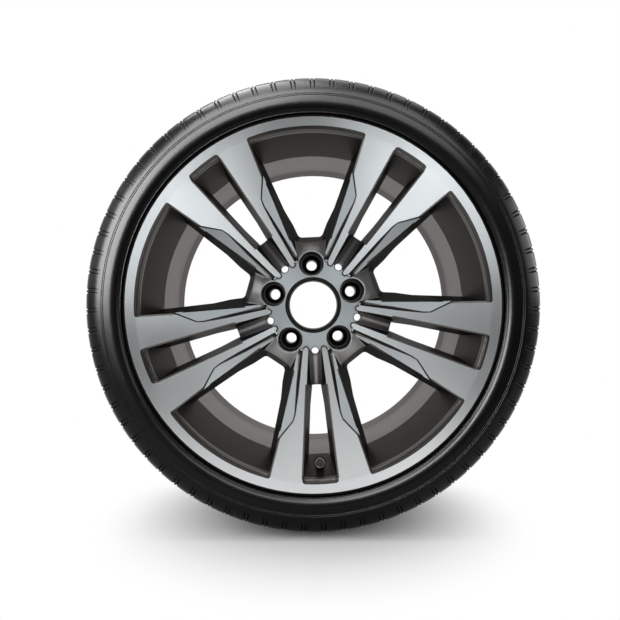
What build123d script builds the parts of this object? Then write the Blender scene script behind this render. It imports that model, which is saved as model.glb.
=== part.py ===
"""Twin-spoke alloy wheel with its tyre and tyre valve, in millimetres.

The origin is the wheel's centre and the spin axis is Y. The front face looks along -Y, and Z is up.
Depths are measured inboard from the front lip. Spoke outlines are drawn as seen from the front,
with their own centre line along +Z, and are then turned about the axle.
"""

import os
from math import cos, radians, sin, tan

from build123d import *

os.makedirs("parts", exist_ok=True)

# Rim
SEAT_R = 254.0  # bead seat radius of a 20 inch rim
RIM_WIDTH = 228.6  # between the flanges, 9 inches
FLANGE_WIDTH = 13.0
FLANGE_HEIGHT = 17.3
FLANGE_ROUND = 8.5  # back of the flange, from its top down to the bead's face
FLANGE_ROUND_TOP = 2.4
BEAD_ROUND = 4.0  # foot of the flange, at the bead seat
LIP_BEVEL = 4.3  # round of the flange outside the turned lip
LIP_INSET = 1.5  # inner edge of the turned lip, inside the bead seat
LIP_ROUND = 6.2  # painted round inside the lip, as seen from the front
LIP_ROUND_DEPTH = 8.5
LIP_ROUND_MIDDLE = (4.1, 3.6)  # a point of that round: in from the lip, and deep
SEAT_WIDTH = 21.0
SEAT_SLOPE = 5.0  # degrees
WALL = 5.0
WELL_DROP = 24.5  # well floor below the bead seat
WELL_START = 57.0
WELL_END = 86.0
WELL_RISE = 34.0  # length of the slope behind the well
LEDGE_DROP = 6.0
HUMP_DROP = 3.0
REAR_RIB = 6.5
REAR_RIB_WIDTH = 18.0

# Disc and hub
SPOKE_PAIRS = 5
TIP_R = 61.0  # inner ends of the turned ridges
TIP_DEPTH = 13.8
PAD_R = 66.0
PAD_DEPTH = 18.4
OFFSET = 40.0  # mounting face outboard of the rim's centre
MOUNT_R = 77.0
HUB_FLARE = 11.0
HUB_BACK = 64.0  # depth of the disc's back round the hub
HUB_BACK_R = 126.0
SPOKE_BACK = 54.0
SPOKE_BACK_R = 150.0
BORE_R = 36.3
CAP_SEAT_R = 38.4
CAP_SEAT = 15.0
BORE_CHAMFER = 2.5
BOLT_CIRCLE_R = 60.0
BOLT_R = 8.0
BOLT_POCKET_R = 17.6
BOLT_POCKET_DEPTH = 29.0
BOLT_POCKET_DRAFT = 1.2
BOLT_SEAT_R = 14.0
BOLT_SEAT_ANGLE = 60.0
BOLT_RIM = 0.8
BOSS_R = 19.2
BOSS_SLOPE = 52.0  # degrees from the bolt's axis
DRAIN_R = 5.4
DRAIN_MOUTH = 6.0  # length of its flared mouth
DRAIN_FLARE = 14.0  # degrees
DRAIN_CIRCLE_R = 67.0
EDGE = 2.4  # painted bevel along the edges of the turned face
WING_EDGE = 1.9  # and along the outer edge of a wing

# Windows, between two pairs of spokes: half width and height of the corners, at the front and the back
WINDOW_INNER = (33.5, 82.2)
WINDOW_OUTER = (90.4, 262.0)
WINDOW_CORNER = 6.0
WINDOW_TIP = 3.0  # rounding of the outer corners
WINDOW_BACK = 95.0
WINDOW_BACK_INNER = (9.9, 112.8)
WINDOW_BACK_OUTER = (82.3, 262.0)
WINDOW_BACK_CORNER = 7.5
WINDOW_SPREAD = 1.06  # a window edge's distance from the axle, over its height
APRON_INNER = 62.0  # slope from a bolt's boss down to the window
APRON_OUTER = 118.0
APRON_BACK = 45.0

# Slots, between the two spokes of a pair: half widths at the inner and the outer end
SLOT_INNER = 119.0
SLOT_HALF = (16.7, 25.7)
SLOT_BACK = 72.0
SLOT_BACK_HALF = (5.3, 16.0)
SLOT_FOOT = 3.0
SLOT_CORNER = 4.6

# Channels, from the small holes into the slots
CHANNEL_INNER = 60.5
CHANNEL_OUTER = 121.0
CHANNEL_FALL = 31.6
CHANNEL_HALF = (12.6, 17.0)
CHANNEL_BACK = 60.0
CHANNEL_BACK_HALF = (1.9, 7.2)
TROUGH_R = 10.2

# Wings, beside the ridges: the top edge of the step up to the ridge, then the far side
WING_STEP = ((14.2, 62.0), (31.6, 155.0), (35.0, 164.9), (47.4, 178.9), (78.0, 213.5))
WING_FAR = ((92.0, 188.0), (52.0, 62.0))
WING_STEP_DEPTH = 9.0
WING_DRAFT = 32.0  # degrees
WING_FLOOR = (20.0, 21.9, 72.0)  # a point of the floor: across, deep and high
WING_UP = (0.17, -1.0, -0.145)  # square to the floor
RIDGE_TIP = (9.7, 15.2)  # both sides of a ridge, at its tip and at its foot
RIDGE_FOOT = (13.3, 22.9)
RIDGE_FOOT_R = 104.0
RIDGE_ROUND = 2.6
RIDGE_GROOVE = 2.2

# Hollows at the back
HOLLOW = ((13.5, 97.0), (21.5, 214.0), (65.0, 214.0), (36.0, 97.0))  # behind one spoke
HOLLOW_ROUND = 7.0
HOLLOW_DRAFT = 6.0  # degrees
SPOKE_SKIN = 8.0  # left over the hollow
POCKET = ((9.0, 49.0), (19.0, 84.0))  # half of the pocket between two bolts
POCKET_ROUND = 6.0
POCKET_DEPTH = 38.0

# Tyre
TYRE_R = 333.5
TYRE_HALF = 131.0
TREAD_HALF = 110.0
TREAD_DROP = 6.0
TREAD_DEPTH = 7.0
GROOVE_WIDTH = 9.0
GROOVE_PLACES = (19.8, 58.3)  # from the middle of the tread
SHOULDER_R = 305.0  # inner ends of the shoulder grooves
GUARD_R = 276.0  # rib that guards the rim
BEAD_GAP = 0.25
CASING = 13.0  # sidewall's thickness
UNDERTREAD = 3.0
PITCHES = 71
SLIT = 2.4

# Valve
VALVE_LEAN = 16.0  # degrees from the axle towards the hub
VALVE_TURN = -2.4  # degrees from straight down, as seen from the front
VALVE_UP = 9.0  # valve hole from the foot of the well wall
VALVE_HOLE_R = 5.75
VALVE_WALL = 3.8
VALVE_SPOT = 0.4  # flat cut into the well wall for the seal
VALVE_POCKET_R = 8.9
VALVE_POCKET = 34.0
STEM_R = 4.1
STEM_TIP = 33.0  # out from the seat on the rim
GROMMET_R = 8.3
GROMMET = 3.0
STEM_FLANGE = 2.2
STEM_FOOT = 3.0
NUT_R = 8.4
NUT_ACROSS = 11.0
NUT_HEIGHT = 7.0
NUT_COLLAR = 2.1
WASHER = 1.0
CORE_R = 2.6
CORE_DEPTH = 16.0  # core barrel's foot below the stem's tip
PIN_R = 0.6
SPRING_WIRE_R = 0.16
SPRING_TURNS = 6
CAP_R = 6.0
CAP_LENGTH = 19.0
CAP_WALL = 1.9
SEAL = 1.4
RUNNING = 0.06

HALF = RIM_WIDTH / 2 + FLANGE_WIDTH
FLANGE_R = SEAT_R + FLANGE_HEIGHT
LIP_R = SEAT_R - LIP_INSET
WELL_R = SEAT_R - WELL_DROP
BARREL_R = WELL_R - WALL
MOUNT_DEPTH = HALF - OFFSET
PITCH = 360 / SPOKE_PAIRS
CLOCK = 180 + VALVE_TURN
FRONT = -6.0  # cutters start this far in front of the lip
FACE_SLOPE = TIP_DEPTH / (LIP_R - TIP_R)
AXLE_DEPTH = FACE_SLOPE * LIP_R  # where the turned face, a shallow cone, would meet the axle


def at_depth(depth):
    """Plane square to the axle, seen from the front, this far behind the lip."""
    return Plane.XZ.offset(HALF - depth)


def under_face(drop, spread=1.0):
    """Plane along the turned face and this far under it, for a line that leans out from +Z."""
    return Plane((0, AXLE_DEPTH + drop - HALF, 0), x_dir=(1, 0, 0), z_dir=(0, -1, -FACE_SLOPE * spread))


def axial(radius, depth):
    """Point of an axial section, drawn on the XY plane."""
    return (radius, depth - HALF)


def part_way(front, back, depth, back_depth):
    """Value at a depth, of a size that changes evenly from the front to the back."""
    return front + (back - front) * (depth - FRONT) / (back_depth - FRONT)


def window_half(height, depth):
    """Half width of a window, at a height and a depth."""
    inner, outer = (
        [part_way(a, b, depth, WINDOW_BACK) for a, b in zip(front, back)]
        for front, back in ((WINDOW_INNER, WINDOW_BACK_INNER), (WINDOW_OUTER, WINDOW_BACK_OUTER))
    )
    return inner[0] + (outer[0] - inner[0]) * (height - inner[1]) / (outer[1] - inner[1])


def both_sides(*points):
    """Closed outline, from the points of its right half."""
    return Polyline(*points, *[(-x, z) for x, z in reversed(points)], close=True)


def round_axle(solid, turn=0.0):
    """One copy of a solid for each pair of spokes."""
    return [solid.rotate(Axis.Y, CLOCK + turn + PITCH * i) for i in range(SPOKE_PAIRS)]


def each_spoke(solid):
    """Copies of a solid on both sides of each pair's centre line."""
    return round_axle(solid) + round_axle(solid.mirror(Plane.YZ))


# Well wall, square to the valve, from its foot on the well floor up to the hump
lean = radians(VALVE_LEAN)
hump_r = SEAT_R - HUMP_DROP
well_top = (hump_r, WELL_START - (hump_r - WELL_R) * tan(lean))

# Rim section, front lip first and round by the tyre side
rear = 2 * HALF
seat_end = FLANGE_WIDTH + SEAT_WIDTH
seat_drop = SEAT_WIDTH * tan(radians(SEAT_SLOPE))
ledge_r = SEAT_R - LEDGE_DROP
lip_foot = axial(LIP_R - LIP_ROUND, LIP_ROUND_DEPTH)
lip_middle = axial(LIP_R - LIP_ROUND_MIDDLE[0], LIP_ROUND_MIDDLE[1])
lip_bevel_middle = LIP_BEVEL * (1 - cos(radians(45)))
with BuildPart() as rim:
    with BuildSketch(Plane.XY):
        with BuildLine():
            Polyline(
                axial(LIP_R, 0),
                axial(FLANGE_R - LIP_BEVEL, 0),
                axial(FLANGE_R - lip_bevel_middle, lip_bevel_middle),
                axial(FLANGE_R, LIP_BEVEL),
                axial(FLANGE_R - FLANGE_ROUND_TOP, FLANGE_WIDTH - FLANGE_ROUND_TOP),
                axial(FLANGE_R - FLANGE_ROUND, FLANGE_WIDTH),
                axial(SEAT_R + BEAD_ROUND, FLANGE_WIDTH),
                axial(SEAT_R, FLANGE_WIDTH + BEAD_ROUND),
                axial(SEAT_R - seat_drop, seat_end),
                axial(hump_r, seat_end + HUMP_DROP),
                axial(*well_top),
                axial(WELL_R, WELL_START),
                axial(WELL_R, WELL_END),
                axial(ledge_r, WELL_END + WELL_RISE),
                axial(ledge_r, rear - seat_end - 2 * LEDGE_DROP),
                axial(SEAT_R - seat_drop, rear - seat_end),
                axial(SEAT_R, rear - FLANGE_WIDTH - BEAD_ROUND),
                axial(SEAT_R + BEAD_ROUND, rear - FLANGE_WIDTH),
                axial(FLANGE_R - FLANGE_ROUND, rear - FLANGE_WIDTH),
                axial(FLANGE_R - FLANGE_ROUND_TOP, rear - FLANGE_WIDTH + FLANGE_ROUND_TOP),
                axial(FLANGE_R, rear - LIP_BEVEL),
                axial(FLANGE_R - LIP_BEVEL, rear),
                axial(ledge_r - WALL, rear),
                axial(ledge_r - WALL - REAR_RIB, rear - LIP_BEVEL),
                axial(ledge_r - WALL, rear - REAR_RIB_WIDTH),
                axial(ledge_r - WALL, WELL_END + WELL_RISE + WALL),
                axial(BARREL_R, WELL_END + WALL),
                axial(BARREL_R, WELL_START),
                lip_foot,
            )
            ThreePointArc(lip_foot, lip_middle, axial(LIP_R, 0))
        make_face()
    revolve(axis=Axis.Y)

# Window, with a bevelled mouth on the turned face
opening_end = LIP_R - EDGE
with BuildPart() as window:
    for depth, inner, outer, corner in (
        (FRONT, WINDOW_INNER, WINDOW_OUTER, WINDOW_CORNER),
        (WINDOW_BACK, WINDOW_BACK_INNER, WINDOW_BACK_OUTER, WINDOW_BACK_CORNER),
    ):
        with BuildSketch(at_depth(depth)) as outline:
            with BuildLine():
                both_sides(inner, outer)
            make_face()
            fillet(outline.vertices().group_by(Axis.Y)[0], corner)
            Circle(opening_end, mode=Mode.INTERSECT)
            fillet(outline.vertices().group_by(Axis.Y)[-1], WINDOW_TIP)
    loft(ruled=True)

with BuildPart() as window_mouth:
    ends = []
    for height in (SLOT_INNER, WINDOW_OUTER[1]):
        depth = AXLE_DEPTH - FACE_SLOPE * WINDOW_SPREAD * height + EDGE
        ends.append((window_half(height, depth) - EDGE, height))
    with BuildSketch(under_face(2 * EDGE, WINDOW_SPREAD)) as outline:
        with BuildLine():
            both_sides(*ends)
        make_face()
        Circle(opening_end - EDGE, mode=Mode.INTERSECT)
        fillet(outline.vertices().group_by(Axis.Y)[-1], WINDOW_TIP - EDGE)
    extrude(amount=4 * EDGE, taper=-45)

# Slot, with its own bevelled mouth
with BuildPart() as slot:
    for depth, halves in ((FRONT, SLOT_HALF), (SLOT_BACK, SLOT_BACK_HALF)):
        with BuildSketch(at_depth(depth)) as outline:
            with BuildLine():
                both_sides((halves[0], SLOT_INNER), (halves[1], LIP_R))
            make_face()
            fillet(outline.vertices().group_by(Axis.Y)[0], SLOT_FOOT)
            Circle(opening_end, mode=Mode.INTERSECT)
            fillet(outline.vertices().group_by(Axis.Y)[-1], SLOT_CORNER)
    loft(ruled=True)

with BuildPart() as slot_mouth:
    ends = []
    for height, front, back in zip((SLOT_INNER, LIP_R), SLOT_HALF, SLOT_BACK_HALF):
        depth = AXLE_DEPTH - FACE_SLOPE * height + EDGE
        ends.append((part_way(front, back, depth, SLOT_BACK) - EDGE, height))
    with BuildSketch(under_face(2 * EDGE)) as outline:
        with BuildLine():
            both_sides(*ends)
        make_face()
        Circle(opening_end - EDGE, mode=Mode.INTERSECT)
        fillet(outline.vertices().group_by(Axis.Y)[-1], SLOT_CORNER - EDGE)
    extrude(amount=4 * EDGE, taper=-45)

# Channel: a round trough that falls from the small hole into the slot, with drafted sides above it
fall = Vector(0, CHANNEL_FALL, CHANNEL_OUTER - CHANNEL_INNER)
along = fall.normalized()
above = Vector(0, -along.Z, along.Y)
trough_start = Vector(0, PAD_DEPTH - HALF, CHANNEL_INNER) + above * TROUGH_R
with BuildPart() as channel:
    for depth, halves in ((FRONT, CHANNEL_HALF), (CHANNEL_BACK, CHANNEL_BACK_HALF)):
        with BuildSketch(at_depth(depth)):
            with BuildLine():
                both_sides((halves[0], CHANNEL_INNER - EDGE), (halves[1], CHANNEL_OUTER))
            make_face()
    loft(ruled=True)
    split(bisect_by=Plane(trough_start, x_dir=(1, 0, 0), z_dir=above), keep=Keep.TOP)
    with BuildSketch(Plane(trough_start - along * TROUGH_R, x_dir=(1, 0, 0), z_dir=along)):
        Circle(TROUGH_R)
    extrude(amount=fall.length + TROUGH_R)

# Wing on the +X side: a sloping facet with a drafted step up to the ridge
wing_floor = Plane((WING_FLOOR[0], WING_FLOOR[1] - HALF, WING_FLOOR[2]), z_dir=WING_UP)
with BuildPart() as wing:
    with BuildSketch(at_depth(WING_STEP_DEPTH)) as outline:
        with BuildLine():
            Polyline(*WING_STEP, *WING_FAR, close=True)
        make_face()
    extrude(amount=-WING_FLOOR[1], taper=WING_DRAFT)
    extrude(outline.sketch, amount=WING_STEP_DEPTH - FRONT)
    split(bisect_by=wing_floor, keep=Keep.TOP)

# Bevel along the edge between the wing and the window beside it: a wedge that stands on its point
meeting = section(window.part.rotate(Axis.Y, PITCH / 2), section_by=wing_floor.offset(-WING_EDGE))
beside = Vector(WING_STEP[3][0], wing_floor.origin.Y, WING_STEP[1][1])
wing_edge = meeting.edges().sort_by_distance(beside)[0]
edge_run = wing_edge @ 1 - wing_edge @ 0
with BuildPart() as wing_bevel:
    with BuildSketch(Plane(wing_edge @ 0.5, x_dir=wing_floor.z_dir, z_dir=edge_run)):
        with BuildLine():
            Polyline((0, 0), (4 * WING_EDGE, 4 * WING_EDGE), (4 * WING_EDGE, -4 * WING_EDGE), close=True)
        make_face()
    extrude(amount=edge_run.length / 2, both=True)
    split(bisect_by=Plane.XY.offset(WING_STEP[-2][1]), keep=Keep.BOTTOM)

# Inner end of a ridge on the +X side, left standing on the hub's pad, and the groove round it
groove_floor = PAD_DEPTH + RIDGE_GROOVE
with BuildPart() as ridge:
    with BuildSketch(at_depth(groove_floor)) as ridge_outline:
        with BuildLine():
            Polyline(
                (RIDGE_TIP[0], TIP_R), (RIDGE_TIP[1], TIP_R),
                (RIDGE_FOOT[1], RIDGE_FOOT_R), (RIDGE_FOOT[0], RIDGE_FOOT_R), close=True,
            )
        make_face()
        fillet(ridge_outline.vertices().group_by(Axis.Y)[0], RIDGE_ROUND)
    extrude(amount=groove_floor - FRONT)

with BuildPart() as tip_groove:
    with BuildSketch(at_depth(groove_floor)):
        add(ridge_outline.sketch_local)
        offset(amount=RIDGE_GROOVE)
        Circle(PAD_R, mode=Mode.INTERSECT)
    extrude(amount=2 * RIDGE_GROOVE)
    add(ridge.part, mode=Mode.SUBTRACT)

# Disc: turned as one piece, then cut
with BuildPart() as disc:
    with BuildSketch(Plane.XY):
        with BuildLine():
            Polyline(
                axial(0, TIP_DEPTH),
                axial(TIP_R, TIP_DEPTH),
                axial(LIP_R, 0),
                axial(SEAT_R, 0),
                axial(BARREL_R + WALL, SPOKE_BACK),
                axial(SPOKE_BACK_R, SPOKE_BACK),
                axial(HUB_BACK_R, HUB_BACK),
                axial(MOUNT_R + HUB_FLARE, HUB_BACK),
                axial(MOUNT_R, MOUNT_DEPTH),
                axial(0, MOUNT_DEPTH),
                close=True,
            )
        make_face()
    revolve(axis=Axis.Y)

with BuildPart() as pad:
    with BuildSketch(at_depth(PAD_DEPTH)):
        Circle(PAD_R)
        with PolarLocations(BOLT_CIRCLE_R, SPOKE_PAIRS, start_angle=90 - CLOCK + PITCH / 2):
            Circle(BOSS_R)
    extrude(amount=PAD_DEPTH - FRONT)
    add(each_spoke(ridge.part), mode=Mode.SUBTRACT)

# Boss round a bolt, and the apron that slopes from it to the window
with BuildPart() as boss:
    with BuildSketch(at_depth(PAD_DEPTH)):
        with Locations((0, BOLT_CIRCLE_R)):
            Circle(BOSS_R)
    extrude(amount=PAD_DEPTH - APRON_BACK - EDGE, taper=-BOSS_SLOPE)

with BuildPart() as apron:
    for depth in (FRONT, APRON_BACK):
        with BuildSketch(at_depth(depth)):
            with BuildLine():
                both_sides(*[(window_half(height, depth), height) for height in (APRON_INNER, APRON_OUTER)])
            make_face()
    loft(ruled=True)
    add(boss.part, mode=Mode.SUBTRACT)

with BuildPart() as bolt_hole:
    with BuildSketch(Plane.YZ):
        with BuildLine():
            seat = PAD_DEPTH + BOLT_POCKET_DEPTH
            cone = (BOLT_SEAT_R - BOLT_R) * tan(radians(BOLT_SEAT_ANGLE))
            Polyline(
                *[
                    (depth - HALF, BOLT_CIRCLE_R + radius)
                    for depth, radius in (
                        (FRONT, 0),
                        (FRONT, BOLT_POCKET_R + BOLT_RIM),
                        (PAD_DEPTH, BOLT_POCKET_R + BOLT_RIM),
                        (PAD_DEPTH + BOLT_RIM, BOLT_POCKET_R),
                        (seat, BOLT_POCKET_R - BOLT_POCKET_DRAFT),
                        (seat, BOLT_SEAT_R),
                        (seat + cone, BOLT_R),
                        (MOUNT_DEPTH + EDGE, BOLT_R),
                        (MOUNT_DEPTH + EDGE, 0),
                    )
                ],
                close=True,
            )
        make_face()
    revolve(axis=Axis((0, 0, BOLT_CIRCLE_R), (0, 1, 0)))

with BuildPart() as bore:
    with BuildSketch(Plane.XY):
        with BuildLine():
            step = CAP_SEAT_R - BORE_R
            Polyline(
                axial(0, FRONT),
                axial(CAP_SEAT_R + step, FRONT),
                axial(CAP_SEAT_R + step, PAD_DEPTH),
                axial(CAP_SEAT_R, PAD_DEPTH + step),
                axial(CAP_SEAT_R, PAD_DEPTH + CAP_SEAT),
                axial(BORE_R, PAD_DEPTH + CAP_SEAT + step),
                axial(BORE_R, MOUNT_DEPTH - BORE_CHAMFER),
                axial(BORE_R + 2 * BORE_CHAMFER, MOUNT_DEPTH + BORE_CHAMFER),
                axial(0, MOUNT_DEPTH + BORE_CHAMFER),
                close=True,
            )
        make_face()
    revolve(axis=Axis.Y)

# Small hole with a flared mouth, and the pocket behind it between two bolts
with BuildPart() as drain:
    with BuildSketch(at_depth(PAD_DEPTH + DRAIN_MOUTH)):
        with Locations((0, DRAIN_CIRCLE_R)):
            Circle(DRAIN_R)
    extrude(amount=DRAIN_MOUTH, taper=-DRAIN_FLARE)
    with BuildSketch(at_depth(PAD_DEPTH)):
        with Locations((0, DRAIN_CIRCLE_R)):
            Circle(DRAIN_R)
    extrude(amount=PAD_DEPTH - MOUNT_DEPTH)
    with BuildSketch(at_depth(MOUNT_DEPTH)) as outline:
        with BuildLine():
            both_sides(*POCKET)
        make_face()
        fillet(outline.vertices(), POCKET_ROUND)
    extrude(amount=POCKET_DEPTH, taper=HOLLOW_DRAFT)

# Hollow behind one spoke, on the +X side, under an even skin
with BuildPart() as hollow:
    with BuildSketch(at_depth(HUB_BACK)) as outline:
        with BuildLine():
            Polyline(*HOLLOW, close=True)
        make_face()
        fillet(outline.vertices(), HOLLOW_ROUND)
    extrude(amount=HUB_BACK, taper=HOLLOW_DRAFT)
    split(bisect_by=wing_floor.offset(-SPOKE_SKIN), keep=Keep.BOTTOM)

# Valve axis: its seat is on the outside of the well wall, and it points forward and to the hub
down = Vector(0, 0, 1).rotate(Axis.Y, CLOCK)
across = Vector(1, 0, 0).rotate(Axis.Y, CLOCK)
valve_dir = down * -sin(lean) + Vector(0, -cos(lean), 0)
valve_sunk = VALVE_WALL + VALVE_SPOT
seat_r = WELL_R + VALVE_UP * cos(lean) - valve_sunk * sin(lean)
seat_depth = WELL_START - VALVE_UP * sin(lean) - valve_sunk * cos(lean)
valve_seat = down * seat_r + Vector(0, seat_depth - HALF, 0)
valve_axis = Axis(valve_seat, valve_dir)
valve_section = Plane(valve_seat, x_dir=across, z_dir=across.cross(valve_dir))
with BuildPart() as valve_cut:
    for radius, start, length in (
        (VALVE_POCKET_R, 0, VALVE_POCKET),
        (VALVE_HOLE_R, -VALVE_WALL - GROMMET, VALVE_WALL + 2 * GROMMET),
        (VALVE_POCKET_R, -VALVE_WALL - 2 * GROMMET, 2 * GROMMET),
    ):
        with BuildSketch(Plane(valve_seat, x_dir=across, z_dir=valve_dir).offset(start)):
            Circle(radius)
        extrude(amount=length)

with BuildPart() as wheel:
    add(disc.part)
    add(pad.part, mode=Mode.SUBTRACT)
    beside_wing = [boss.part.rotate(Axis.Y, turn) for turn in (PITCH / 2, -PITCH / 2)]
    add(each_spoke(wing.part - beside_wing), mode=Mode.SUBTRACT)
    add(each_spoke(tip_groove.part), mode=Mode.SUBTRACT)
    add(each_spoke(wing_bevel.part), mode=Mode.SUBTRACT)
    for cutter in (apron, window, window_mouth, bolt_hole):
        add(round_axle(cutter.part, PITCH / 2), mode=Mode.SUBTRACT)
    for cutter in (slot, slot_mouth, channel, drain):
        add(round_axle(cutter.part), mode=Mode.SUBTRACT)
    add(each_spoke(hollow.part), mode=Mode.SUBTRACT)
    add(bore.part, mode=Mode.SUBTRACT)
    add(rim.part)
    add(valve_cut.part, mode=Mode.SUBTRACT)
wheel.part.label = "alloy_wheel"
export_step(wheel.part, "parts/alloy_wheel.step")

# Tyre section, one half from the crown to the bead and back along the lining
crown_fall = TREAD_DROP / TREAD_HALF**2


def crown(offset):
    """Point of the tread's crown, this far from the middle."""
    return (TYRE_R - crown_fall * offset**2, offset)


def floor_of(offset):
    """Point of a tread groove's floor."""
    return (crown(offset)[0] - TREAD_DEPTH, offset)


half_groove = GROOVE_WIDTH / 2
ribs = [crown(0)]
for middle in GROOVE_PLACES:
    ribs.append(crown(middle - half_groove))
    ribs.append(floor_of(middle - half_groove + 1))
    ribs.append(floor_of(middle + half_groove - 1))
    ribs.append(crown(middle + half_groove))
ribs.append(crown(TREAD_HALF))
belly = (SHOULDER_R + GUARD_R) / 2
tread_edge = crown(TREAD_HALF)[0]
bead_face = HALF - FLANGE_WIDTH - BEAD_GAP
with BuildPart() as tyre:
    with BuildSketch(Plane.XY):
        with BuildLine():
            Polyline(*ribs)
            Polyline(
                crown(TREAD_HALF),
                ((SHOULDER_R + tread_edge) / 2 + 3.0, TYRE_HALF - 8.4),
                (SHOULDER_R, TYRE_HALF - 2.2),
                (belly + 5.0, TYRE_HALF),
                (belly - 5.0, TYRE_HALF),
                (GUARD_R, TYRE_HALF - 1.0),
                (FLANGE_R + 1.0, HALF - LIP_BEVEL),
                (FLANGE_R - FLANGE_ROUND_TOP + BEAD_GAP, bead_face + FLANGE_ROUND_TOP),
                (FLANGE_R - FLANGE_ROUND + BEAD_GAP, bead_face),
                (SEAT_R + BEAD_ROUND + BEAD_GAP, bead_face),
                (SEAT_R + BEAD_GAP, bead_face - BEAD_ROUND),
                (SEAT_R - seat_drop + BEAD_GAP, HALF - seat_end),
                (SEAT_R + 10.0, HALF - seat_end + 3.0),
                (belly, TYRE_HALF - CASING),
                (TYRE_R - TREAD_DEPTH - 2 * UNDERTREAD, TREAD_HALF - 18.0),
                (TYRE_R - TREAD_DEPTH - UNDERTREAD, 0),
            )
            mirror(about=Plane.XZ)
        make_face()
    revolve(axis=Axis.Y)

# Slits across the shoulders, as thin wedges that run out at the sidewall
with BuildPart() as slit:
    with BuildSketch(Plane.XY):
        with BuildLine():
            Polyline(
                (SHOULDER_R + 1.0, TYRE_HALF + 2.0),
                (SHOULDER_R + 1.0, TYRE_HALF - 4.0),
                (tread_edge - 4.5, TREAD_HALF - 1.0),
                (TYRE_R + 2.0, TREAD_HALF - 22.0),
                (TYRE_R + 2.0, TYRE_HALF + 2.0),
                close=True,
            )
        make_face()
    extrude(amount=SLIT / 2, both=True)
with BuildPart() as grooved:
    add(tyre.part)
    for side in (slit.part, slit.part.mirror(Plane.XZ)):
        add([side.rotate(Axis.Y, 360 / PITCHES * i) for i in range(PITCHES)], mode=Mode.SUBTRACT)
grooved.part.label = "tyre"
export_step(grooved.part, "parts/tyre.step")


def valve_profile(*points):
    """Half section about the valve's axis, from points (radius, distance out from the seat)."""
    with BuildSketch(valve_section) as profile:
        with BuildLine():
            Polyline(*points, close=True)
        make_face()
    return profile.sketch


def square_profile(inner, outer, low, high):
    """Half section of a plain ring or disc."""
    return valve_profile((inner, low), (outer, low), (outer, high), (inner, high))


flange_face = -VALVE_WALL - GROMMET
flange_foot = flange_face - STEM_FLANGE
thread_start = STEM_TIP * 0.45
core_foot = STEM_TIP - CORE_DEPTH
thread_r = STEM_R - 0.3
bore_r = CORE_R - 0.7
with BuildPart() as valve_stem:
    outline = valve_profile(
        (bore_r, flange_foot - STEM_FOOT),
        (STEM_R + 0.6, flange_foot - STEM_FOOT),
        (STEM_R + 0.6, flange_foot),
        (GROMMET_R - 0.4, flange_foot),
        (GROMMET_R - 0.4, flange_face),
        (STEM_R, flange_face),
        (STEM_R, thread_start),
        (thread_r, thread_start + 0.3),
        (thread_r, STEM_TIP - 0.5),
        (thread_r - 0.5, STEM_TIP),
        (CORE_R, STEM_TIP),
        (CORE_R, core_foot),
        (bore_r, core_foot - 1.0),
    )
    revolve(outline, axis=valve_axis)
valve_stem.part.label = "valve_stem"
export_step(valve_stem.part, "parts/valve_stem.step")

# Rubber seal, with a sleeve that fills the hole round the stem
with BuildPart() as valve_grommet:
    outline = valve_profile(
        (STEM_R, flange_face),
        (GROMMET_R, flange_face),
        (GROMMET_R, -VALVE_WALL),
        (VALVE_HOLE_R - RUNNING, -VALVE_WALL),
        (VALVE_HOLE_R - RUNNING, -0.3),
        (STEM_R, -0.3),
    )
    revolve(outline, axis=valve_axis)
valve_grommet.part.label = "valve_grommet"
export_step(valve_grommet.part, "parts/valve_grommet.step")

with BuildPart() as valve_washer:
    revolve(square_profile(STEM_R + RUNNING, NUT_R - 0.3, 0, WASHER), axis=valve_axis)
valve_washer.part.label = "valve_washer"
export_step(valve_washer.part, "parts/valve_washer.step")

# Hexagon nut with a round collar
collar_top = WASHER + NUT_COLLAR
with BuildPart() as valve_nut:
    with BuildSketch(Plane(valve_seat, x_dir=across, z_dir=valve_dir).offset(WASHER)):
        RegularPolygon(NUT_ACROSS / 2, 6, major_radius=False)
    extrude(amount=NUT_HEIGHT)
    outline = valve_profile(
        (0, WASHER), (NUT_R, WASHER), (NUT_R, collar_top - 0.6), (NUT_R - 1.6, collar_top), (0, collar_top)
    )
    revolve(outline, axis=valve_axis)
    bore_outline = square_profile(0, STEM_R + RUNNING / 2, 0, WASHER + NUT_HEIGHT + 1)
    revolve(bore_outline, axis=valve_axis, mode=Mode.SUBTRACT)
valve_nut.part.label = "valve_nut"
export_step(valve_nut.part, "parts/valve_nut.step")

# Valve core: barrel screwed into the stem, with its sealing ring, and a spring-loaded pin
core_top = STEM_TIP - 1.5
barrel_r = CORE_R - RUNNING
gasket_top = core_foot + 2.5
spring_room = PIN_R + 2.6 * SPRING_WIRE_R + 0.1
shelf = core_foot + 5.0
with BuildPart() as valve_core_barrel:
    outline = valve_profile(
        (PIN_R + RUNNING, core_foot - 0.5),
        (bore_r - 0.3, core_foot - 0.5),
        (bore_r - 0.3, gasket_top),
        (barrel_r, gasket_top),
        (barrel_r, core_top),
        (spring_room, core_top),
        (spring_room, shelf),
        (PIN_R + RUNNING, shelf),
    )
    revolve(outline, axis=valve_axis)
valve_core_barrel.part.label = "valve_core_barrel"
export_step(valve_core_barrel.part, "parts/valve_core_barrel.step")

with BuildPart() as valve_core_gasket:
    revolve(square_profile(bore_r - 0.3, barrel_r, core_foot + 0.1, gasket_top), axis=valve_axis)
valve_core_gasket.part.label = "valve_core_gasket"
export_step(valve_core_gasket.part, "parts/valve_core_gasket.step")

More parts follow.
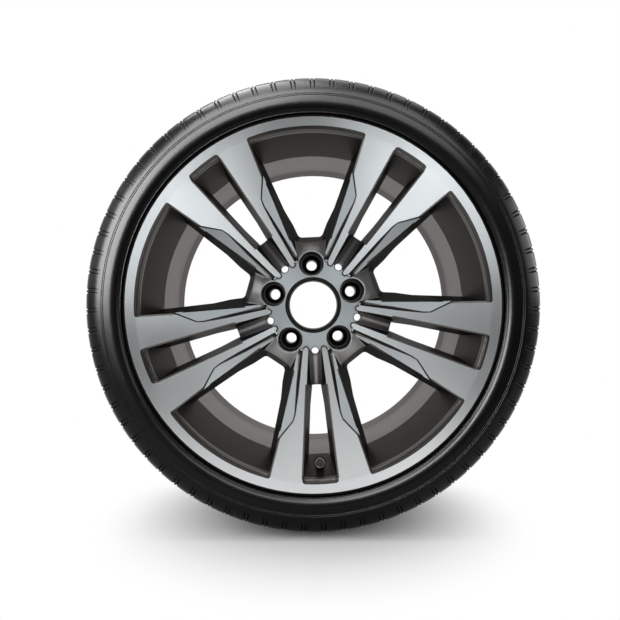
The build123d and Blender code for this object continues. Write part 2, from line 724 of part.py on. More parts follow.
cup_top = core_foot - 0.5
cup_foot = cup_top - 2.0
head_foot = core_top - 2.0
with BuildPart() as valve_core_pin:
    outline = valve_profile(
        (0, cup_foot - 1.0),
        (PIN_R + 0.3, cup_foot - 1.0),
        (PIN_R + 0.3, cup_foot),
        (PIN_R, cup_foot),
        (PIN_R, head_foot),
        (spring_room - RUNNING, head_foot),
        (spring_room - RUNNING, head_foot + 0.6),
        (PIN_R, head_foot + 0.6),
        (PIN_R, STEM_TIP - 0.4),
        (0, STEM_TIP - 0.4),
    )
    revolve(outline, axis=valve_axis)
valve_core_pin.part.label = "valve_core_pin"
export_step(valve_core_pin.part, "parts/valve_core_pin.step")

with BuildPart() as valve_core_cup:
    revolve(square_profile(PIN_R, bore_r - 0.25, cup_foot, cup_top), axis=valve_axis)
valve_core_cup.part.label = "valve_core_cup"
export_step(valve_core_cup.part, "parts/valve_core_cup.step")

coil_r = PIN_R + 1.3 * SPRING_WIRE_R + 0.04
coil_foot = shelf + SPRING_WIRE_R
coil_height = head_foot - shelf - 2 * SPRING_WIRE_R
with BuildPart() as valve_core_spring:
    with BuildLine() as coil:
        Helix(
            coil_height / SPRING_TURNS,
            coil_height,
            coil_r,
            center=valve_seat + valve_dir * coil_foot,
            direction=valve_dir,
        )
    with BuildSketch(Plane(coil.line @ 0, z_dir=coil.line % 0)):
        RegularPolygon(SPRING_WIRE_R, 6)
    sweep(is_frenet=True)
valve_core_spring.part.label = "valve_core_spring"
export_step(valve_core_spring.part, "parts/valve_core_spring.step")

# Screw cap with a rubber disc that closes the stem's tip
cap_roof = STEM_TIP + SEAL
cap_top = cap_roof + CAP_WALL
with BuildPart() as valve_cap:
    outline = valve_profile(
        (thread_r + RUNNING, cap_top - CAP_LENGTH),
        (CAP_R - 0.3, cap_top - CAP_LENGTH),
        (CAP_R, cap_top - CAP_LENGTH + 0.5),
        (CAP_R - 0.4, cap_top - 1.2),
        (CAP_R - 1.4, cap_top),
        (0, cap_top),
        (0, cap_roof),
        (thread_r + RUNNING, cap_roof),
    )
    revolve(outline, axis=valve_axis)
valve_cap.part.label = "valve_cap"
export_step(valve_cap.part, "parts/valve_cap.step")

with BuildPart() as valve_cap_seal:
    revolve(square_profile(0, thread_r, STEM_TIP, cap_roof), axis=valve_axis)
valve_cap_seal.part.label = "valve_cap_seal"
export_step(valve_cap_seal.part, "parts/valve_cap_seal.step")
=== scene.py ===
import math

import bpy
import numpy as np
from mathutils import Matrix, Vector


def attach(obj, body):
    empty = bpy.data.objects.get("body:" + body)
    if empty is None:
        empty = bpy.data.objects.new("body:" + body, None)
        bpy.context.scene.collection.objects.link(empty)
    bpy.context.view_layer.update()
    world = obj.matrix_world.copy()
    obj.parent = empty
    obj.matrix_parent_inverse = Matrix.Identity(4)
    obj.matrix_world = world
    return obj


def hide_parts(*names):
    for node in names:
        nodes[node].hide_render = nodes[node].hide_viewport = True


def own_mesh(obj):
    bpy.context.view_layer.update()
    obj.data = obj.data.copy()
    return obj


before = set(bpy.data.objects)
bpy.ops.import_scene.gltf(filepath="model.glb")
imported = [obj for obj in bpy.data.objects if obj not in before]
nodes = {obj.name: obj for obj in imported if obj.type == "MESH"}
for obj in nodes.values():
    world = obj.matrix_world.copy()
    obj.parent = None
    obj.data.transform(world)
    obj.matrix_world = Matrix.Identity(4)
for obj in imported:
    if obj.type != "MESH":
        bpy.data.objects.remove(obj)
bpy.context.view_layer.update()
scene = bpy.context.scene
scene.view_settings.view_transform = "Standard"

# The part's sizes are in millimetres, the places of the floor and the lamps in metres.
# Depth counts back from the plane of the rim's front flange.
MM = 0.001
HALF = 127.3  # half of the rim's width over its flanges

# Camera on the wheel's axis
IMAGE_PX = 620
FOCAL_PX = 593.7
CENTRE_PX = (-3.2, -5.0)  # the picture's centre from the axle, right and up
SENSOR_MM = 36.0
CAMERA_GAP = 840.0  # in front of the rim's flange
camera_data = bpy.data.cameras.new("camera")
camera_data.sensor_width = SENSOR_MM
camera_data.lens = FOCAL_PX / IMAGE_PX * SENSOR_MM
camera_data.shift_x = CENTRE_PX[0] / IMAGE_PX
camera_data.shift_y = CENTRE_PX[1] / IMAGE_PX
camera_data.clip_start = 0.01
camera = bpy.data.objects.new("camera", camera_data)
camera.location = (0.0, -(HALF + CAMERA_GAP) * MM, 0.0)
camera.rotation_euler = (math.radians(90), 0.0, 0.0)
scene.collection.objects.link(camera)
scene.camera = camera

BEVEL_SAMPLES = 6
RUBBER_EDGE = 0.6


def node_adder(tree):
    """A function that adds a node to this tree, sets its values and links others into it."""

    def add(kind, *links, **settings):
        node = tree.nodes.new(kind)
        for key, value in settings.items():
            if hasattr(node, key):
                setattr(node, key, value)
            else:
                node.inputs[key.replace("_", " ")].default_value = value
        for source, target in links:
            tree.links.new(source, node.inputs[target])
        return node

    return add


def new_material(name):
    """A material with its node tree, its shader and a function that adds nodes."""
    material = bpy.data.materials.new(name)
    material.use_nodes = True
    tree = material.node_tree
    return material, tree, tree.nodes["Principled BSDF"], node_adder(tree)


def setup(shader, **values):
    """Sets constants on the shader's own sockets."""
    for key, value in values.items():
        shader.inputs[key.replace("_", " ")].default_value = value


def tint(colour, share):
    """The colour made darker or lighter, as a socket takes it."""
    return (*[min(1.0, c * share) for c in colour], 1)


def object_noise(add, scale, detail):
    """Noise in the object's own coordinates."""
    place = add("ShaderNodeTexCoord")
    noise = add(
        "ShaderNodeTexNoise", (place.outputs["Object"], "Vector"), Scale=scale, Detail=detail
    )
    return noise.outputs["Fac"]


def vary_colour(tree, shader, add, noise, colour, spread):
    """Base colour that wanders round the given one with a noise."""
    tone = add("ShaderNodeMix", (noise, "Factor"), data_type="RGBA")
    tone.inputs["A"].default_value = tint(colour, 1 - spread)
    tone.inputs["B"].default_value = tint(colour, 1 + spread)
    tree.links.new(tone.outputs["Result"], shader.inputs["Base Color"])


def vary_roughness(tree, shader, add, noise, roughness, spread):
    """Roughness that wanders round the given one with a noise."""
    rough = add(
        "ShaderNodeMapRange", (noise, "Value"),
        To_Min=roughness * (1 - spread), To_Max=roughness * (1 + spread),
    )
    tree.links.new(rough.outputs["Result"], shader.inputs["Roughness"])


def soft_edges(tree, shader, add, edge_mm, skin, strength, skin_mm):
    """Edges that shade as if rounded, with the bump of a skin over them."""
    edge = add("ShaderNodeBevel", samples=BEVEL_SAMPLES, Radius=edge_mm * MM)
    bump = add(
        "ShaderNodeBump", (skin, "Height"), (edge.outputs["Normal"], "Normal"),
        Strength=strength, Distance=skin_mm * MM,
    )
    tree.links.new(bump.outputs["Normal"], shader.inputs["Normal"])


def turned_metal(name, colour, roughness, line_mm, streak):
    """Bright turned metal: fine lines round the axle that spread the light across them."""
    material, tree, shader, add = new_material(name)
    setup(shader, Metallic=1.0, Anisotropic=streak, Anisotropic_Rotation=0.25)
    place = add("ShaderNodeTexCoord")
    split = add("ShaderNodeSeparateXYZ", (place.outputs["Object"], "Vector"))
    flat = add("ShaderNodeCombineXYZ", (split.outputs["X"], "X"), (split.outputs["Z"], "Y"))
    radius = add("ShaderNodeVectorMath", (flat.outputs[0], 0), operation="LENGTH")
    lines = add(
        "ShaderNodeTexNoise", (radius.outputs["Value"], "W"), noise_dimensions="1D",
        Scale=1.0 / (line_mm * MM), Detail=3.0,
    )
    cloud = object_noise(add, scale=18.0, detail=4.0)
    vary_colour(tree, shader, add, lines.outputs["Fac"], colour, spread=0.07)
    vary_roughness(tree, shader, add, cloud, roughness, spread=0.1)
    bump = add(
        "ShaderNodeBump", (lines.outputs["Fac"], "Height"), Strength=0.1, Distance=0.3 * MM
    )
    tree.links.new(bump.outputs["Normal"], shader.inputs["Normal"])
    tangent = add("ShaderNodeTangent", direction_type="RADIAL", axis="Y")
    tree.links.new(tangent.outputs["Tangent"], shader.inputs["Tangent"])
    return material


def paint(name, colour, metallic, roughness, edge_mm, grazing=0.3, gloss=0.4):
    """Cast and painted metal: a fine flake in the colour, a slight cast skin and soft edges."""
    material, tree, shader, add = new_material(name)
    setup(
        shader, Metallic=metallic, Specular_IOR_Level=gloss,
        Specular_Tint=(grazing, grazing, grazing, 1),
    )
    flake = object_noise(add, scale=2600.0, detail=2.0)
    cloud = object_noise(add, scale=40.0, detail=4.0)
    vary_colour(tree, shader, add, flake, colour, spread=0.18)
    vary_roughness(tree, shader, add, cloud, roughness, spread=0.1)
    soft_edges(tree, shader, add, edge_mm, cloud, strength=0.05, skin_mm=0.5)
    return material


def rubber(name, colour, roughness, gloss=0.5):
    """Moulded rubber or plastic with a fine skin grain."""
    material, tree, shader, add = new_material(name)
    setup(shader, Specular_IOR_Level=gloss)
    grain = object_noise(add, scale=900.0, detail=3.0)
    cloud = object_noise(add, scale=22.0, detail=5.0)
    vary_colour(tree, shader, add, cloud, colour, spread=0.2)
    vary_roughness(tree, shader, add, cloud, roughness, spread=0.12)
    soft_edges(tree, shader, add, RUBBER_EDGE, grain, strength=0.08, skin_mm=0.3)
    return material


TURNED = turned_metal(
    "turned_face", (0.83, 0.85, 0.86), roughness=0.30, line_mm=0.9, streak=0.9
)
FACET = turned_metal("wing_facet", (0.74, 0.78, 0.80), roughness=0.45, line_mm=0.7, streak=0.4)
PAD = turned_metal("hub_pad", (0.62, 0.66, 0.68), roughness=0.40, line_mm=0.8, streak=0.8)
NICKEL = turned_metal(
    "valve_nickel", (0.66, 0.65, 0.62), roughness=0.28, line_mm=0.25, streak=0.0
)
BRASS = turned_metal("core_brass", (0.75, 0.56, 0.26), roughness=0.3, line_mm=0.25, streak=0.0)

DARK_PAINT = (0.085, 0.079, 0.075)
GUNMETAL = paint(
    "gunmetal_paint", DARK_PAINT, metallic=0.9, roughness=0.33, edge_mm=1.2, grazing=0.2
)
# A lighter copy of the gunmetal paint: a painted highlight on the bevels along the turned face's
# edges
BEVEL_HIGHLIGHT = paint("bevel_paint_highlight", (0.22, 0.205, 0.195), metallic=0.9, roughness=0.36, edge_mm=1.2)
# A lighter copy of the gunmetal paint: a painted highlight band on the lip's rounded inner edge
ROUND_HIGHLIGHT = paint("round_paint_highlight", (0.21, 0.20, 0.19), metallic=0.9, roughness=0.36, edge_mm=2.0)
# A lighter copy of the gunmetal paint: a painted sheen on the hub's slopes round the bolt bosses
APRON_SHEEN = paint(
    "apron_paint_sheen", (0.42, 0.41, 0.40), metallic=0.9, roughness=0.34, edge_mm=5.0, grazing=0.4
)
BARREL = paint(
    "barrel_paint", (0.20, 0.182, 0.176), metallic=0.3, roughness=0.5, edge_mm=1.0, grazing=1.0
)
# A darker copy of the gunmetal paint: painted shade in the bolt pockets and round the drain holes
POCKET_SHADE = paint("bolt_pocket_shade", (0.055, 0.049, 0.043), metallic=0.8, roughness=0.30, edge_mm=1.0)
# The dark paint made near-black and nearly without gloss: painted shade in the bore and on the
# flange's outer edge
BORE_SHADE = paint(
    "bore_paint_shade", (0.012, 0.011, 0.010), metallic=0.0, roughness=0.5, edge_mm=0.6, gloss=0.04
)

RUBBER = rubber("tyre_rubber", (0.004, 0.004, 0.0043), roughness=0.27, gloss=0.11)
TREAD = rubber("tyre_tread", (0.014, 0.014, 0.0145), roughness=0.6, gloss=0.03)
GROOVE = rubber("tyre_groove", (0.005, 0.005, 0.005), roughness=0.85, gloss=0.1)
SEAL_RUBBER = rubber("seal_rubber", (0.018, 0.018, 0.018), roughness=0.6)
CAP_PLASTIC = rubber("cap_plastic", (0.022, 0.021, 0.020), roughness=0.38)

# Wheel: each face takes its finish from where it lies
wheel = nodes["alloy_wheel"]
LIP_R, LIP_EDGE_R = 252.5, 267.0
TIP_R, TIP_DEPTH = 61.0, 13.8  # where the turned face ends at the hub
PAD_DEPTH, MOUNT_DEPTH = 18.4, 87.3  # the hub's front and its mounting face
BOLT_CIRCLE_R, BOLT_POCKET_R, BOLT_CHAMFER = 60.0, 17.6, 0.9
DRAIN_CIRCLE_R, DRAIN_R, DRAIN_MARGIN = 67.0, 5.4, 1.7
BORE_MOUTH_R = 40.5
CLOCK = math.radians(177.6)  # of the pair of spokes with the valve, from +Z towards +X
PITCH = math.radians(72)
# Plane of the wing beside each ridge, in its pair's frame: across, deep, along
WING_POINT, WING_NORMAL = (20.0, 21.9, 72.0), (0.17, -1.0, -0.145)

# How near to a surface a face counts as on it
NEAR, FACE_NEAR, WING_NEAR = 0.1, 0.3, 0.15
# Share of a face's normal that looks out to the front, or away from the axle
FLAT, SQUARE = 0.9, 0.99
BEVEL_FACING, APRON_FACING = (0.55, 0.85), 0.45
BARREL_OUTWARD, ROUND_OUTWARD = -0.8, -0.3
# Where the finishes begin and end
TURNED_R = (TIP_R - 3, LIP_EDGE_R)
FACET_END_R = LIP_R - 20
BEVEL_R, BEVEL_DROP = (TIP_R + 40, LIP_R - 7), 2.6
ROUND_R, ROUND_DEPTH = (LIP_R - 7, LIP_R - 3.3), (1.5, 9.5)
APRON_R, APRON_DROP = TIP_R + 57, 0.3
BARREL_R, BARREL_DEPTH = 200.0, 56.0
POCKET_FLOOR, DRAIN_FLOOR = 40.0, 50.0
LIP_EDGE_DEPTH = 13.5

# Strip past the outer ends of the openings
OPENING_END_R, STRIP_WIDTH = 254.0, 8.0
# Windows, then slots: angle of the middle, half angle in degrees, corner's radius
OPENING_ENDS = ((CLOCK + PITCH / 2, 19.55, 3.5), (CLOCK, 5.95, 4.6))


def near(values, target, reach):
    return np.abs(values - target) < reach


def between(values, low, high):
    return (values > low) & (values < high)


def dress_wheel():
    mesh = wheel.data
    count = len(mesh.polygons)
    centre = np.empty(count * 3)
    normal = np.empty(count * 3)
    mesh.polygons.foreach_get("center", centre)
    mesh.polygons.foreach_get("normal", normal)
    centre = centre.reshape(-1, 3) / MM
    normal = normal.reshape(-1, 3)
    x, z = centre[:, 0], centre[:, 2]
    radius = np.hypot(x, z)
    depth = centre[:, 1] + HALF
    facing = -normal[:, 1]
    outward = (normal[:, 0] * x + normal[:, 2] * z) / np.maximum(radius, 1e-6)

    # Place in the frame of the nearest pair of spokes, which points along +z
    turn = np.round((np.arctan2(x, z) - CLOCK) / PITCH) * PITCH + CLOCK
    local_x = np.abs(x * np.cos(turn) - z * np.sin(turn))
    local_z = x * np.sin(turn) + z * np.cos(turn)
    from_bolt = np.hypot(
        local_x - BOLT_CIRCLE_R * math.sin(PITCH / 2),
        local_z - BOLT_CIRCLE_R * math.cos(PITCH / 2),
    )
    from_drain = np.hypot(local_x, local_z - DRAIN_CIRCLE_R)
    wing = np.array(WING_NORMAL) / np.linalg.norm(WING_NORMAL)
    off_wing = (
        (local_x - WING_POINT[0]) * wing[0] + (depth - WING_POINT[1]) * wing[1]
        + (local_z - WING_POINT[2]) * wing[2]
    )
    face = np.maximum(TIP_DEPTH * (LIP_R - radius) / (LIP_R - TIP_R), 0.0)

    # Bevels along the turned face's edges, which take the painted highlight
    bevel = between(facing, *BEVEL_FACING) & between(radius, *BEVEL_R)
    bevel &= (depth - face < BEVEL_DROP) & (depth > face - NEAR)
    # The lip's rounded inner edge, which takes the painted highlight band
    lip_round = (outward < ROUND_OUTWARD) & between(radius, *ROUND_R)
    lip_round &= between(depth, *ROUND_DEPTH)
    # The hub's slopes round the bosses, which take the painted sheen
    apron = (radius < APRON_R) & (facing > APRON_FACING) & (depth > PAD_DEPTH + APRON_DROP)
    apron &= from_bolt > BOLT_POCKET_R + NEAR
    barrel = (outward < BARREL_OUTWARD) & (radius > BARREL_R) & (depth > BARREL_DEPTH)
    # Bolt pockets and the walls round the drain holes, which take the painted shade
    pocket = from_bolt < BOLT_POCKET_R + NEAR
    pocket &= between(depth, PAD_DEPTH + BOLT_CHAMFER, MOUNT_DEPTH - NEAR)
    pocket |= (
        (from_drain < DRAIN_R + DRAIN_MARGIN) & between(depth, PAD_DEPTH + NEAR, DRAIN_FLOOR)
    )
    pocket &= (facing < FLAT) | (depth < POCKET_FLOOR)
    # The bore and the flange's outer edge, which take the near-black painted shade
    black = (radius < BORE_MOUTH_R + NEAR) & between(depth, PAD_DEPTH + NEAR, MOUNT_DEPTH - NEAR)
    black |= (radius > LIP_EDGE_R) & (depth < LIP_EDGE_DEPTH)
    pad = (facing > SQUARE) & near(depth, PAD_DEPTH, NEAR)
    pad |= (
        between(from_bolt, BOLT_POCKET_R - NEAR, BOLT_POCKET_R + BOLT_CHAMFER)
        & near(depth, PAD_DEPTH, BOLT_CHAMFER)
    )
    pad |= (facing < -SQUARE) & near(depth, MOUNT_DEPTH, NEAR)
    facet = near(off_wing, 0.0, WING_NEAR) & (facing > FLAT) & (radius < FACET_END_R)
    turned = (facing > FLAT) & near(depth, face, FACE_NEAR) & between(radius, *TURNED_R)

    # A later finish covers an earlier one
    finishes = (
        (bevel, BEVEL_HIGHLIGHT), (lip_round, ROUND_HIGHLIGHT), (apron, APRON_SHEEN), (barrel, BARREL), (pocket, POCKET_SHADE),
        (black, BORE_SHADE), (pad, PAD), (facet, FACET), (turned, TURNED),
    )
    finish = np.zeros(count, np.int32)
    mesh.materials.clear()
    mesh.materials.append(GUNMETAL)
    for index, (mask, material) in enumerate(finishes, start=1):
        finish[mask] = index
        mesh.materials.append(material)
    mesh.polygons.foreach_set("material_index", finish)


def paint_past_openings(material):
    """Dark paint on the narrow strip of the face past each opening's outer end."""
    tree = material.node_tree
    add = node_adder(tree)
    colour = tree.nodes["Principled BSDF"].inputs["Base Color"]

    def calc(operation, *values):
        node = add("ShaderNodeMath", operation=operation)
        for socket, value in zip(node.inputs, values):
            if isinstance(value, (int, float)):
                socket.default_value = value
            else:
                tree.links.new(value, socket)
        return node.outputs[0]

    place = add("ShaderNodeTexCoord")
    split = add("ShaderNodeSeparateXYZ", (place.outputs["Object"], 0))
    x, z = split.outputs["X"], split.outputs["Z"]
    radius = calc("SQRT", calc("ADD", calc("MULTIPLY", x, x), calc("MULTIPLY", z, z)))
    angle = calc("ARCTAN2", x, z)
    strip = 0.0
    for middle, half_angle, corner in OPENING_ENDS:
        half = math.radians(half_angle) * LIP_R * MM
        off_middle = calc("WRAP", calc("SUBTRACT", angle, middle), PITCH / 2, -PITCH / 2)
        across = calc("MULTIPLY", calc("ABSOLUTE", off_middle), LIP_R * MM)
        # The end is straight, then falls away in a quarter circle at the corner
        into = calc("MAXIMUM", calc("SUBTRACT", across, half - corner * MM), 0.0)
        share = calc("MINIMUM", calc("DIVIDE", into, corner * MM), 1.0)
        bow = calc("SQRT", calc("SUBTRACT", 1.0, calc("MULTIPLY", share, share)))
        end = calc("MULTIPLY_ADD", bow, corner * MM, (OPENING_END_R - corner) * MM)
        inside = calc(
            "MULTIPLY", calc("LESS_THAN", radius, end), calc("LESS_THAN", across, half)
        )
        strip = calc("MAXIMUM", strip, inside)
    past = calc("GREATER_THAN", radius, (OPENING_END_R - STRIP_WIDTH) * MM)
    strip = calc("MULTIPLY", strip, past)
    mix = add("ShaderNodeMix", (strip, "Factor"), data_type="RGBA")
    tree.links.new(colour.links[0].from_socket, mix.inputs["A"])
    mix.inputs["B"].default_value = (*DARK_PAINT, 1)
    tree.links.new(mix.outputs["Result"], colour)


dress_wheel()
paint_past_openings(TURNED)

# Tyre: a moulded ring with ridges on its sidewalls, paired slits on its shoulders and
# four grooves
PITCHES = 71
TYRE_R, TREAD_HALF, CROWN_FALL = 333.5, 110.0, 6.0
GROOVE_HALF, GROOVE_FLOOR_HALF, GROOVE_DEPTH = 4.5, 3.6, 6.6
# Slits: they run in from the sidewall and close up over the tread's edge
SLIT_START_R, SLIT_RUN_IN = 306.5, 9.0
SLIT_HALF_WIDTH, SLIT_WIDENING, SLIT_DEPTH, SLIT_SWELL = 0.35, 0.85, 3.0, 0.7
SLIT_EDGE_HALF, SLIT_EDGE_SHARE = 112.0, 0.55
SLIT_END_HALF, SLIT_RUN_OUT = 66.0, 12.0
SLIT_LEAN, LEAN_START_R, LEAN_RUN = 0.35, 300.0, 30.0  # the lean is in degrees
SLIT_OFFSET, SLIT_OFFSET_R = 2.8, 330.0
SLIT_SECTION = ((-1.0, 0.0), (-0.55, 1.0), (0.55, 1.0), (1.0, 0.0))  # share across, share deep
BLOCK_SHARES = (0.22, 0.41, 0.59, 0.78)  # lines across the block between two pairs of slits
SLIT_FLOOR_DEPTH = 0.3
MATT_HALF, MATT_R = 100.0, 318.0
SHARP_ANGLE = math.radians(38)
ON_SIDEWALL, IN_SLIT, ON_TREAD = 0, 1, 2
DEGREES_PER_RADIAN = 180 / math.pi


def smooth(points, steps):
    """Points along a smooth line through the given ones."""
    points = np.array(points, float)
    ends = np.vstack([2 * points[0] - points[1], points, 2 * points[-1] - points[-2]])
    line = []
    for i in range(1, len(ends) - 2):
        p0, p1, p2, p3 = ends[i - 1:i + 3]
        for t in np.linspace(0, 1, steps, endpoint=False):
            line.append(
                0.5 * (2 * p1 + (p2 - p0) * t + (2 * p0 - 5 * p1 + 4 * p2 - p3) * t**2
                       + (3 * p1 - p0 - 3 * p2 + p3) * t**3)
            )
    line.append(points[-1])
    return [tuple(p) for p in line]


def rise(values, start, run):
    """Share from 0 at the start to 1 at the end of the run."""
    return np.clip((values - start) / run, 0, 1)


def tyre_half():
    """Half of the outside, from the bead to the tread's middle: radius and place across."""
    bead = [
        (252.5, 93.5), (254.3, 110.0), (257.8, 114.0), (263.0, 114.0), (269.2, 116.6),
        (272.3, 121.6),
    ]
    guard = [(272.7, 125.0), (273.5, 126.2), (274.3, 125.9), (274.8, 125.2)]
    bulge = [
        (276.0, 126.2), (278.0, 128.2), (280.5, 129.7), (283.5, 130.7), (286.8, 131.0),
        (290.0, 130.8), (293.2, 130.4), (296.3, 129.9),
    ]
    ridges = [
        (296.7, 129.8), (297.0, 130.3), (297.5, 130.2), (297.8, 129.6), (299.2, 129.4),
        (299.5, 129.8), (300.0, 129.7), (300.3, 129.2),
    ]
    shoulder = [
        (301.4, 129.0), (305.0, 128.2), (311.0, 126.1), (318.0, 122.3), (323.6, 117.4),
        (327.4, 110.6),
    ]
    fall = CROWN_FALL / TREAD_HALF**2

    def crown(offset, down=0.0):
        return (TYRE_R - fall * offset**2 - down, offset)

    def rib(*offsets):
        return [crown(offset) for offset in offsets]

    def groove(middle):
        return [
            crown(middle + GROOVE_HALF), crown(middle + GROOVE_FLOOR_HALF, GROOVE_DEPTH),
            crown(middle - GROOVE_FLOOR_HALF, GROOVE_DEPTH), crown(middle - GROOVE_HALF),
        ]

    tread = (
        rib(104.0, 94.0, 82.0, 70.0, 63.2) + groove(58.3) + rib(48.0, 38.0, 29.0)
        + groove(19.8) + rib(8.0, 0.0)
    )
    return bead + smooth(guard, 2) + smooth(bulge, 3) + ridges + smooth(shoulder, 3) + tread


def build_tyre():
    half = tyre_half()
    inside = [
        (320.0, 0.0), (319.0, 60.0), (315.0, 92.0), (300.0, 114.0), (288.0, 118.0),
        (275.0, 111.0), (264.0, 97.0),
    ]
    outline = np.array(
        [(r, -o) for r, o in half] + [(r, o) for r, o in half[-2::-1]]
        + [(r, o) for r, o in inside[:0:-1]] + [(r, -o) for r, o in inside]
    )
    rows = len(outline)
    outside = np.arange(rows) < 2 * len(half) - 1
    radius, across = outline[:, 0], outline[:, 1]

    # Slit width, depth and lean along the section
    reach = np.where(outside, rise(radius, SLIT_START_R, SLIT_RUN_IN), 0.0)
    width = SLIT_HALF_WIDTH + SLIT_WIDENING * reach
    edge_fade = np.where(np.abs(across) < SLIT_EDGE_HALF, SLIT_EDGE_SHARE, 1.0)
    crown_fade = rise(np.abs(across), SLIT_END_HALF, SLIT_RUN_OUT)
    depth = SLIT_DEPTH * reach**SLIT_SWELL * crown_fade * edge_fade
    lean = np.sign(across) * SLIT_LEAN * rise(radius, LEAN_START_R, LEAN_RUN)

    # Columns of one pitch: each slit has two edges and two floor lines
    pitch = 360.0 / PITCHES
    gap = SLIT_OFFSET / SLIT_OFFSET_R * DEGREES_PER_RADIAN
    columns = [(side * gap, edge, low) for side in (-1, 1) for edge, low in SLIT_SECTION]
    columns += [(gap + share * (pitch - 2 * gap), 0.0, 0.0) for share in BLOCK_SHARES]
    along = np.gradient(outline, axis=0)
    normal = np.stack([along[:, 1], -along[:, 0]], axis=1)
    normal /= np.linalg.norm(normal, axis=1, keepdims=True)
    points = []
    for i in range(PITCHES):
        for base, edge, low in columns:
            half_width = edge * width / radius * DEGREES_PER_RADIAN
            angle = np.radians(i * pitch + base + half_width + lean)
            r = radius - low * depth * normal[:, 0]
            y = across - low * depth * normal[:, 1]
            points.append(np.stack([r * np.sin(angle), y, r * np.cos(angle)], axis=1))
    points = np.array(points)
    turns = len(points)
    faces = []
    for i in range(turns):
        j = (i + 1) % turns
        for k in range(rows):
            m = (k + 1) % rows
            faces.append((i * rows + k, i * rows + m, j * rows + m, j * rows + k))

    mesh = bpy.data.meshes.new("tyre_body")
    mesh.from_pydata((points.reshape(-1, 3) * MM).tolist(), [], faces)
    mesh.polygons.foreach_set("use_smooth", np.ones(len(mesh.polygons), bool))
    mesh.set_sharp_from_angle(angle=SHARP_ANGLE)
    for material in (RUBBER, GROOVE, TREAD):
        mesh.materials.append(material)
    low_side = np.array([low for _, _, low in columns])
    inner = np.repeat(np.tile((low_side + np.roll(low_side, -1)) > 0.5, PITCHES), rows)
    deep = depth > SLIT_FLOOR_DEPTH
    slit = inner & np.tile(deep & np.roll(deep, -1), turns)
    matt = (np.abs(across) < MATT_HALF) & (radius > MATT_R) & outside
    tread = np.tile(matt & np.roll(matt, -1), turns)
    finish = np.where(slit, IN_SLIT, np.where(tread, ON_TREAD, ON_SIDEWALL))
    mesh.polygons.foreach_set("material_index", finish.astype(np.int32))
    mesh.validate()
    piece = bpy.data.objects.new("tyre_body", mesh)
    scene.collection.objects.link(piece)
    return piece


tyre = build_tyre()
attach(tyre, "wheel")
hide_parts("tyre")

VALVE_FINISH = {
    "valve_stem": NICKEL, "valve_nut": NICKEL, "valve_washer": NICKEL,
    "valve_core_barrel": BRASS, "valve_core_pin": BRASS, "valve_core_spring": NICKEL,
    "valve_core_cup": BRASS, "valve_core_gasket": SEAL_RUBBER, "valve_grommet": SEAL_RUBBER,
    "valve_cap": CAP_PLASTIC, "valve_cap_seal": SEAL_RUBBER,
}
for name, finish in VALVE_FINISH.items():
    nodes[name].data.materials.clear()
    nodes[name].data.materials.append(finish)

# Core spring: a copy with a mesh of its own, carried with the wheel
spring = bpy.data.objects.new("core_spring", nodes["valve_core_spring"].data.copy())
scene.collection.objects.link(spring)
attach(spring, "wheel")
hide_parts("valve_core_spring")
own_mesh(spring)

# Floor: pale, with the part's soft shadow near it, and white further off
FLOOR_Z, FLOOR_SIZE, FLOOR_FRONT = -0.3335, 8.0, -0.6
FLOOR_TONE = 0.9
FLOOR_FADE = (0.33, 0.48)  # from the wheel's centre
floor_mesh = bpy.data.meshes.new("floor")
floor_mesh.from_pydata(
    [
        (-FLOOR_SIZE, FLOOR_FRONT, FLOOR_Z), (FLOOR_SIZE, FLOOR_FRONT, FLOOR_Z),
        (FLOOR_SIZE, FLOOR_SIZE, FLOOR_Z), (-FLOOR_SIZE, FLOOR_SIZE, FLOOR_Z),
    ],
    [], [(0, 1, 2, 3)],
)
floor = bpy.data.objects.new("floor", floor_mesh)
scene.collection.objects.link(floor)


def floor_material():
    material, tree, shader, add = new_material("floor")
    setup(
        shader, Base_Color=(FLOOR_TONE, FLOOR_TONE, FLOOR_TONE, 1), Roughness=0.9,
        Specular_IOR_Level=0.0,
    )
    place = add("ShaderNodeNewGeometry")
    away = add("ShaderNodeVectorMath", (place.outputs["Position"], 0), operation="LENGTH")
    fade = add(
        "ShaderNodeMapRange", (away.outputs["Value"], "Value"), interpolation_type="SMOOTHSTEP",
        From_Min=FLOOR_FADE[0], From_Max=FLOOR_FADE[1],
    )
    path = add("ShaderNodeLightPath")
    sharp = add(
        "ShaderNodeMath", (path.outputs["Is Camera Ray"], 0), (path.outputs["Is Glossy Ray"], 1),
        operation="MAXIMUM",
    )
    clear = add(
        "ShaderNodeMath", (sharp.outputs[0], 0), (path.outputs["Is Transmission Ray"], 1),
        operation="MAXIMUM",
    )
    seen = add(
        "ShaderNodeMath", (clear.outputs[0], 0), (fade.outputs["Result"], 1),
        operation="MULTIPLY",
    )
    glow = add("ShaderNodeEmission", Strength=1.0)
    mix = add(
        "ShaderNodeMixShader", (seen.outputs[0], 0), (shader.outputs[0], 1), (glow.outputs[0], 2)
    )
    tree.links.new(mix.outputs[0], tree.nodes["Material Output"].inputs["Surface"])
    return material


floor_mesh.materials.append(floor_material())

# World: white behind the part, a darker studio in front of it, and an even soft light for
# matt surfaces
FRONT_LEVEL, SIDE_LEVEL, BACK_LEVEL, SOFT_LEVEL = 0.06, 0.25, 1.0, 0.55
# Levels from the front to the back
STUDIO_RAMP = (
    (0.0, FRONT_LEVEL), (0.15, FRONT_LEVEL), (0.42, SIDE_LEVEL), (0.55, SIDE_LEVEL),
    (0.62, BACK_LEVEL), (1.0, BACK_LEVEL),
)


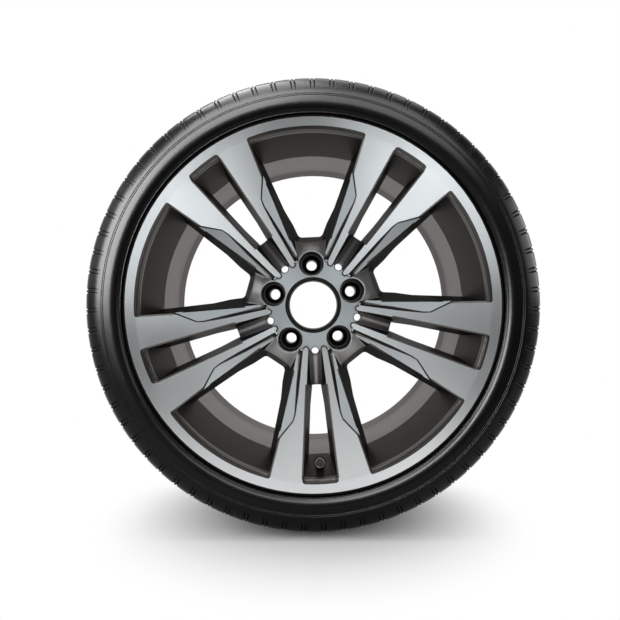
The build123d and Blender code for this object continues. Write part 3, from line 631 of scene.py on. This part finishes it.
def studio_world():
    world = bpy.data.worlds.new("studio")
    world.use_nodes = True
    world.node_tree.nodes.clear()
    add = node_adder(world.node_tree)
    path = add("ShaderNodeLightPath")
    coord = add("ShaderNodeTexCoord")
    split = add("ShaderNodeSeparateXYZ", (coord.outputs["Generated"], 0))
    along = add(
        "ShaderNodeMapRange", (split.outputs["Y"], "Value"), From_Min=-1.0, From_Max=1.0
    )
    ramp = add("ShaderNodeValToRGB", (along.outputs["Result"], 0))
    stops = ramp.color_ramp.elements
    for position, _ in STUDIO_RAMP[1:-1]:
        stops.new(position)
    for stop, (_, level) in zip(stops, STUDIO_RAMP):
        stop.color = (level, level, level, 1)
    white = add("ShaderNodeBackground", Color=(1, 1, 1, 1))
    studio = add("ShaderNodeBackground", (ramp.outputs[0], "Color"))
    soft = add("ShaderNodeBackground", Color=(SOFT_LEVEL, SOFT_LEVEL, SOFT_LEVEL, 1))
    sharp = add(
        "ShaderNodeMath", (path.outputs["Is Glossy Ray"], 0),
        (path.outputs["Is Transmission Ray"], 1), operation="MAXIMUM",
    )
    lit = add(
        "ShaderNodeMixShader", (sharp.outputs[0], 0), (soft.outputs[0], 1), (studio.outputs[0], 2)
    )
    mixed = add(
        "ShaderNodeMixShader", (path.outputs["Is Camera Ray"], 0), (lit.outputs[0], 1),
        (white.outputs[0], 2),
    )
    add("ShaderNodeOutputWorld", (mixed.outputs[0], "Surface"))
    return world


scene.world = studio_world()


def only_for(name, pieces):
    """Collection that keeps a lamp to these pieces."""
    group = bpy.data.collections.new(name)
    for piece in pieces:
        group.objects.link(piece)
    return group


def soft_light(name, place, size, level, group=None, colour=(1, 1, 1), matt=True):
    """A softbox that looks at the part's centre, shines at this level, and lights matt
    surfaces too or not."""
    lamp = bpy.data.lights.new(name, "AREA")
    lamp.shape = "RECTANGLE"
    lamp.size, lamp.size_y = size
    lamp.energy = level * math.pi * size[0] * size[1]
    lamp.color = colour
    light = bpy.data.objects.new(name, lamp)
    light.location = place
    light.rotation_euler = (-Vector(place)).to_track_quat("-Z", "Y").to_euler()
    light.light_linking.receiver_collection = group
    light.visible_camera = False
    light.visible_diffuse = matt
    scene.collection.objects.link(light)


def round_axle(azimuth, off_axis, distance):
    """Place at an angle from the axle's front, with its azimuth from +X towards +Z."""
    azimuth, off_axis = math.radians(azimuth), math.radians(off_axis)
    out = distance * math.sin(off_axis)
    return (out * math.cos(azimuth), -distance * math.cos(off_axis), out * math.sin(azimuth))


# Lamps round the axle: azimuth and level of each
COOL, WARM = (0.95, 0.99, 1.0), (1.0, 0.985, 0.96)
FACE_LAMPS = ((45, 2.2, COOL), (148, 2.05, COOL), (288, 0.68, WARM))
SIDEWALL_LAMPS = ((70, 13.0), (115, 36.0), (160, 57.0))
SHOULDER_LAMPS = ((105, 17.0), (15, 6.0))
wheel_light = only_for("wheel_light", [wheel] + [nodes[name] for name in VALVE_FINISH])
tyre_light = only_for("tyre_light", [tyre])
soft_light("overhead", place=(0.0, 0.1, 1.5), size=(1.6, 0.9), level=3.8)
soft_light("left", place=(-1.6, -0.3, 0.6), size=(0.9, 1.0), level=2.0)
# Near the axis, for the turned face
for azimuth, level, colour in FACE_LAMPS:
    place = round_axle(azimuth, off_axis=17, distance=1.9)
    soft_light(f"face_{azimuth}", place, (0.6, 0.6), level, wheel_light, colour)
# Above and to the left, for the tyre's sidewall
for azimuth, level in SIDEWALL_LAMPS:
    place = round_axle(azimuth, off_axis=45, distance=1.8)
    soft_light(f"sidewall_{azimuth}", place, (1.0, 0.9), level, tyre_light, matt=False)
# Almost beside the wheel, above and to the right, for the tyre's shoulder
for azimuth, level in SHOULDER_LAMPS:
    place = round_axle(azimuth, off_axis=82, distance=1.6)
    soft_light(f"shoulder_{azimuth}", place, (1.5, 0.7), level, tyre_light, matt=False)
